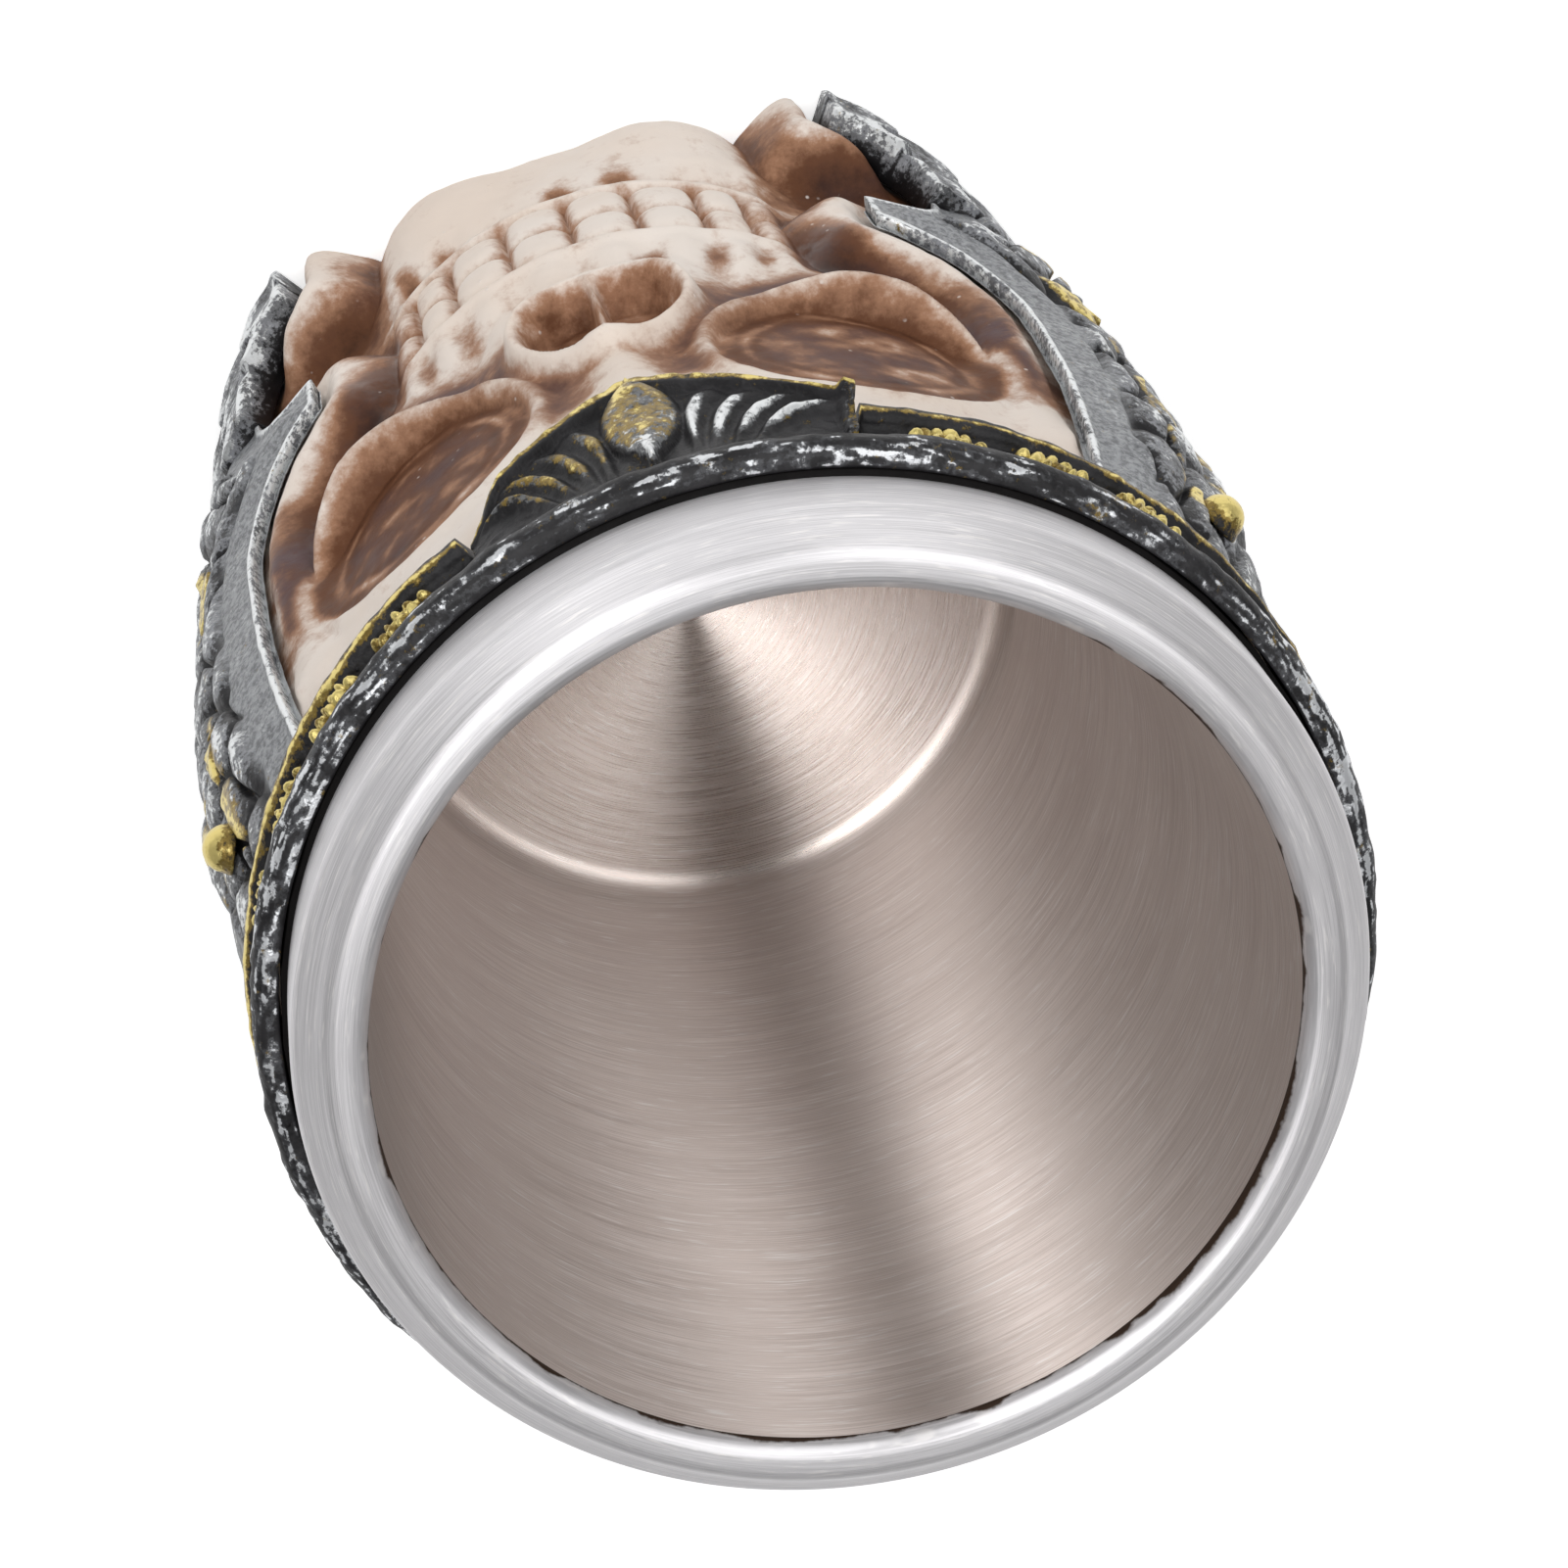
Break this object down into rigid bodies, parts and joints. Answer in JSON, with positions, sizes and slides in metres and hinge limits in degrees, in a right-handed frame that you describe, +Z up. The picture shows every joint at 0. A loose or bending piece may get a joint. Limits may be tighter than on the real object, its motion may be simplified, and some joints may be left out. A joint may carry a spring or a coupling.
{
  "type": "skull mug",
  "caption": "Drinking mug: a brushed steel cup set in a cast resin skull that wears an antique helmet with cheek and jaw guards, a leaf band and a palmette.",
  "frame": {"origin": "middle of the foot, on the cup's axis, at the underside of the pad", "axes": "+Z up along the cup's axis, -Y the way the face looks, +X the skull's own left"},
  "size_m": [0.0972, 0.098, 0.115],
  "materials": {
    "pad_foam": "matt foam",
    "bone_resin": "cream resin with brown wash, semi-gloss",
    "adhesive": "cured epoxy",
    "cup_steel": "brushed round the axis",
    "rim_steel": "satin band with a polished lip",
    "antique_silver": "black resin with silver dry brush",
    "band_black": "black resin with silver and gold dry brush",
    "antique_gold": "gold paint, worn",
    "palmette_black": "black resin with gold and pewter dry brush"
  },
  "bodies": {
    "root": {"base_pad": "pad_foam", "skull": "bone_resin", "bond_layer": "adhesive", "liner_cup": "cup_steel", "rim_ring": "rim_steel", "helmet_bowl": "antique_silver", "cheek_guard_left": "antique_silver", "cheek_guard_right": "antique_silver", "jaw_guard_left": "antique_silver", "jaw_guard_right": "antique_silver", "brow_band": "band_black", "band_leaves": "antique_gold", "palmette": "palmette_black", "studs": "antique_gold"}
  },
  "joints": []
}
